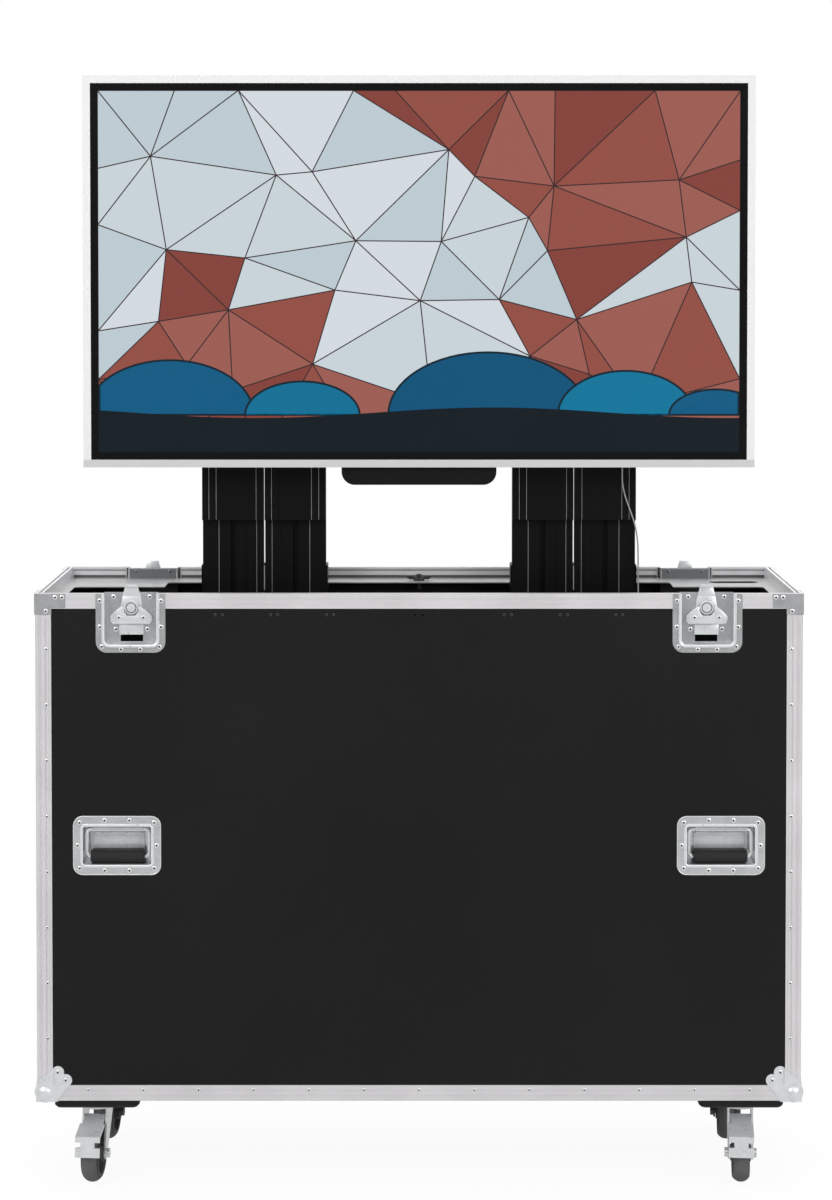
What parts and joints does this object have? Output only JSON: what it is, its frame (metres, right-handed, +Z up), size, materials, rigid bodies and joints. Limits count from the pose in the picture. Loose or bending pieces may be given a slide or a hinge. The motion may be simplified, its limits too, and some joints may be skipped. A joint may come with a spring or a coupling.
{
  "type": "tv lift mechanism",
  "caption": "Television lift in a wheeled flight case: paired telescopic masts raise a flat display out of a slot in the deck.",
  "frame": {"origin": "on the floor under the middle of the case", "axes": "+X to the right of someone facing the screen, +Y to the rear, +Z up; the display stands fully raised"},
  "size_m": [1.4124, 0.4424, 2.055],
  "materials": {
    "black_laminate": "satin embossed laminate",
    "aluminium_profile": "satin extruded",
    "zinc_steel": "bright zinc plated",
    "black_board": "black painted ply",
    "silver_deck": "satin sheet",
    "black_batten": "black painted",
    "rail_aluminium": "black anodised",
    "black_steel": "satin black",
    "bronze_nut": "turned",
    "grey_control": "moulded",
    "cable_grey": "smooth",
    "grip_rubber": "matt",
    "wheel_rubber": "matt",
    "white_frame": "satin white",
    "black_bezel": "gloss",
    "screen_glass": "screen",
    "cover_plastic": "textured"
  },
  "bodies": {
    "case": {"case_walls": "black_laminate", "floor_panel": "black_laminate", "rim_profiles": "aluminium_profile", "base_edges": "aluminium_profile", "upright_edges": "aluminium_profile", "ball_corners": "zinc_steel", "top_corner_braces": "zinc_steel", "latch_dishes": "zinc_steel", "handle_dishes": "zinc_steel", "castor_boards": "black_board", "castor_plates": "zinc_steel", "deck_plate": "silver_deck", "deck_battens": "black_batten", "base_rails": "rail_aluminium", "guide_heads": "rail_aluminium", "mast_brackets": "black_steel", "gear_motors": "black_steel", "screw_bearings": "black_steel", "control_box": "grey_control", "display_cable": "cable_grey"},
    "mast_middle": {"middle_rails": "rail_aluminium", "nut_carriers": "rail_aluminium", "lift_nuts": "bronze_nut"},
    "carriage": {"top_rails": "rail_aluminium", "cross_bars": "black_steel", "display_hooks": "black_steel", "display_frame": "white_frame", "display_bezel": "black_bezel", "display_screen": "screen_glass", "display_back_cover": "cover_plastic", "connector_tray": "cover_plastic"},
    "screw_left": {"drive_screw_left": "zinc_steel"},
    "screw_right": {"drive_screw_right": "zinc_steel"},
    "deck_lock": {"deck_wing_lock": "black_steel"},
    "latch_hub_front_left": {"latch_hub_front_left": "zinc_steel"},
    "latch_wing_front_left": {"latch_wing_front_left": "zinc_steel"},
    "latch_tongue_front_left": {"latch_tongue_front_left": "zinc_steel"},
    "handle_front_left": {"handle_front_left": "grip_rubber"},
    "castor_fork_front_left": {"castor_fork_front_left": "zinc_steel"},
    "castor_wheel_front_left": {"castor_wheel_front_left": "wheel_rubber"},
    "brake_pedal_front_left": {"brake_pedal_front_left": "zinc_steel"},
    "latch_hub_front_right": {"latch_hub_front_right": "zinc_steel"},
    "latch_wing_front_right": {"latch_wing_front_right": "zinc_steel"},
    "latch_tongue_front_right": {"latch_tongue_front_right": "zinc_steel"},
    "handle_front_right": {"handle_front_right": "grip_rubber"},
    "castor_fork_front_right": {"castor_fork_front_right": "zinc_steel"},
    "castor_wheel_front_right": {"castor_wheel_front_right": "wheel_rubber"},
    "brake_pedal_front_right": {"brake_pedal_front_right": "zinc_steel"},
    "latch_hub_rear_left": {"latch_hub_rear_left": "zinc_steel"},
    "latch_wing_rear_left": {"latch_wing_rear_left": "zinc_steel"},
    "latch_tongue_rear_left": {"latch_tongue_rear_left": "zinc_steel"},
    "handle_rear_left": {"handle_rear_left": "grip_rubber"},
    "castor_fork_rear_left": {"castor_fork_rear_left": "zinc_steel"},
    "castor_wheel_rear_left": {"castor_wheel_rear_left": "wheel_rubber"},
    "latch_hub_rear_right": {"latch_hub_rear_right": "zinc_steel"},
    "latch_wing_rear_right": {"latch_wing_rear_right": "zinc_steel"},
    "latch_tongue_rear_right": {"latch_tongue_rear_right": "zinc_steel"},
    "handle_rear_right": {"handle_rear_right": "grip_rubber"},
    "castor_fork_rear_right": {"castor_fork_rear_right": "zinc_steel"},
    "castor_wheel_rear_right": {"castor_wheel_rear_right": "wheel_rubber"}
  },
  "joints": [
    {"name": "mast_raise", "type": "slide", "parent": "case", "child": "mast_middle", "axis": [0, 0, 1], "range_m": [-0.4925, 0], "deforming": ["display_cable"]},
    {"name": "carriage_raise", "type": "slide", "parent": "mast_middle", "child": "carriage", "axis": [0, 0, 1], "range_m": [-0.4925, 0], "deforming": ["display_cable"]},
    {"name": "screw_left_spin", "type": "hinge", "parent": "case", "child": "screw_left", "pos_m": [-0.298, 0.133, 0.6], "axis": [0, 0, 1], "range_deg": [-8870, 5]},
    {"name": "screw_right_spin", "type": "hinge", "parent": "case", "child": "screw_right", "pos_m": [0.298, 0.133, 0.6], "axis": [0, 0, 1], "range_deg": [-8870, 5]},
    {"name": "deck_lock_turn", "type": "hinge", "parent": "case", "child": "deck_lock", "pos_m": [0, 0.152, 1.085], "axis": [0, 0, 1], "range_deg": [0, 90]},
    {"name": "latch_turn_front_left", "type": "hinge", "parent": "case", "child": "latch_hub_front_left", "pos_m": [-0.526, -0.20035, 1.073], "axis": [0, -1, 0], "range_deg": [0, 180]},
    {"name": "latch_wing_fold_front_left", "type": "hinge", "parent": "latch_hub_front_left", "child": "latch_wing_front_left", "pos_m": [-0.526, -0.20035, 1.073], "axis": [-1, 0, 0], "range_deg": [0, 90]},
    {"name": "latch_tongue_slide_front_left", "type": "slide", "parent": "case", "child": "latch_tongue_front_left", "axis": [0, 0, 1], "range_m": [-0.0141, 0]},
    {"name": "handle_lift_front_left", "type": "hinge", "parent": "case", "child": "handle_front_left", "pos_m": [-0.552, -0.198, 0.665], "axis": [-1, 0, 0], "range_deg": [0, 90], "stiffness_Nm_per_rad": 0.4},
    {"name": "castor_swivel_front_left", "type": "hinge", "parent": "case", "child": "castor_fork_front_left", "pos_m": [-0.6, -0.12, 0.135], "axis": [0, 0, 1], "continuous": true},
    {"name": "castor_roll_front_left", "type": "hinge", "parent": "castor_fork_front_left", "child": "castor_wheel_front_left", "pos_m": [-0.60323, -0.15686, 0.052], "axis": [0.9962, -0.0872, 0], "continuous": true},
    {"name": "brake_press_front_left", "type": "hinge", "parent": "castor_fork_front_left", "child": "brake_pedal_front_left", "pos_m": [-0.60183, -0.14092, 0.1165], "axis": [0.9962, -0.0872, 0], "range_deg": [0, 6]},
    {"name": "latch_turn_front_right", "type": "hinge", "parent": "case", "child": "latch_hub_front_right", "pos_m": [0.526, -0.20035, 1.073], "axis": [0, -1, 0], "range_deg": [0, 180]},
    {"name": "latch_wing_fold_front_right", "type": "hinge", "parent": "latch_hub_front_right", "child": "latch_wing_front_right", "pos_m": [0.526, -0.20035, 1.073], "axis": [-1, 0, 0], "range_deg": [0, 90]},
    {"name": "latch_tongue_slide_front_right", "type": "slide", "parent": "case", "child": "latch_tongue_front_right", "axis": [0, 0, 1], "range_m": [-0.0141, 0]},
    {"name": "handle_lift_front_right", "type": "hinge", "parent": "case", "child": "handle_front_right", "pos_m": [0.552, -0.198, 0.665], "axis": [-1, 0, 0], "range_deg": [0, 90], "stiffness_Nm_per_rad": 0.4},
    {"name": "castor_swivel_front_right", "type": "hinge", "parent": "case", "child": "castor_fork_front_right", "pos_m": [0.6, -0.12, 0.135], "axis": [0, 0, 1], "continuous": true},
    {"name": "castor_roll_front_right", "type": "hinge", "parent": "castor_fork_front_right", "child": "castor_wheel_front_right", "pos_m": [0.59678, -0.15686, 0.052], "axis": [0.9962, -0.0872, 0], "continuous": true},
    {"name": "brake_press_front_right", "type": "hinge", "parent": "castor_fork_front_right", "child": "brake_pedal_front_right", "pos_m": [0.59817, -0.14092, 0.1165], "axis": [0.9962, -0.0872, 0], "range_deg": [0, 6]},
    {"name": "latch_turn_rear_left", "type": "hinge", "parent": "case", "child": "latch_hub_rear_left", "pos_m": [-0.526, 0.20035, 1.073], "axis": [0, 1, 0], "range_deg": [0, 180]},
    {"name": "latch_wing_fold_rear_left", "type": "hinge", "parent": "latch_hub_rear_left", "child": "latch_wing_rear_left", "pos_m": [-0.526, 0.20035, 1.073], "axis": [1, 0, 0], "range_deg": [0, 90]},
    {"name": "latch_tongue_slide_rear_left", "type": "slide", "parent": "case", "child": "latch_tongue_rear_left", "axis": [0, 0, 1], "range_m": [-0.0141, 0]},
    {"name": "handle_lift_rear_left", "type": "hinge", "parent": "case", "child": "handle_rear_left", "pos_m": [-0.552, 0.198, 0.665], "axis": [1, 0, 0], "range_deg": [0, 90], "stiffness_Nm_per_rad": 0.4},
    {"name": "castor_swivel_rear_left", "type": "hinge", "parent": "case", "child": "castor_fork_rear_left", "pos_m": [-0.6, 0.12, 0.135], "axis": [0, 0, 1], "continuous": true},
    {"name": "castor_roll_rear_left", "type": "hinge", "parent": "castor_fork_rear_left", "child": "castor_wheel_rear_left", "pos_m": [-0.60323, 0.08314, 0.052], "axis": [0.9962, -0.0872, 0], "continuous": true},
    {"name": "latch_turn_rear_right", "type": "hinge", "parent": "case", "child": "latch_hub_rear_right", "pos_m": [0.526, 0.20035, 1.073], "axis": [0, 1, 0], "range_deg": [0, 180]},
    {"name": "latch_wing_fold_rear_right", "type": "hinge", "parent": "latch_hub_rear_right", "child": "latch_wing_rear_right", "pos_m": [0.526, 0.20035, 1.073], "axis": [1, 0, 0], "range_deg": [0, 90]},
    {"name": "latch_tongue_slide_rear_right", "type": "slide", "parent": "case", "child": "latch_tongue_rear_right", "axis": [0, 0, 1], "range_m": [-0.0141, 0]},
    {"name": "handle_lift_rear_right", "type": "hinge", "parent": "case", "child": "handle_rear_right", "pos_m": [0.552, 0.198, 0.665], "axis": [1, 0, 0], "range_deg": [0, 90], "stiffness_Nm_per_rad": 0.4},
    {"name": "castor_swivel_rear_right", "type": "hinge", "parent": "case", "child": "castor_fork_rear_right", "pos_m": [0.6, 0.12, 0.135], "axis": [0, 0, 1], "continuous": true},
    {"name": "castor_roll_rear_right", "type": "hinge", "parent": "castor_fork_rear_right", "child": "castor_wheel_rear_right", "pos_m": [0.59678, 0.08314, 0.052], "axis": [0.9962, -0.0872, 0], "continuous": true}
  ],
  "couplings": [
    {"joint": "carriage_raise", "follows": "mast_raise", "ratio": 1},
    {"joint": "screw_left_spin", "follows": "mast_raise", "rad_per_m": 314.16},
    {"joint": "screw_right_spin", "follows": "mast_raise", "rad_per_m": 314.16},
    {"joint": "latch_tongue_slide_front_left", "follows": "latch_turn_front_left", "m_per_rad": -0.004488},
    {"joint": "latch_tongue_slide_front_right", "follows": "latch_turn_front_right", "m_per_rad": -0.004488},
    {"joint": "latch_tongue_slide_rear_left", "follows": "latch_turn_rear_left", "m_per_rad": -0.004488},
    {"joint": "latch_tongue_slide_rear_right", "follows": "latch_turn_rear_right", "m_per_rad": -0.004488}
  ]
}
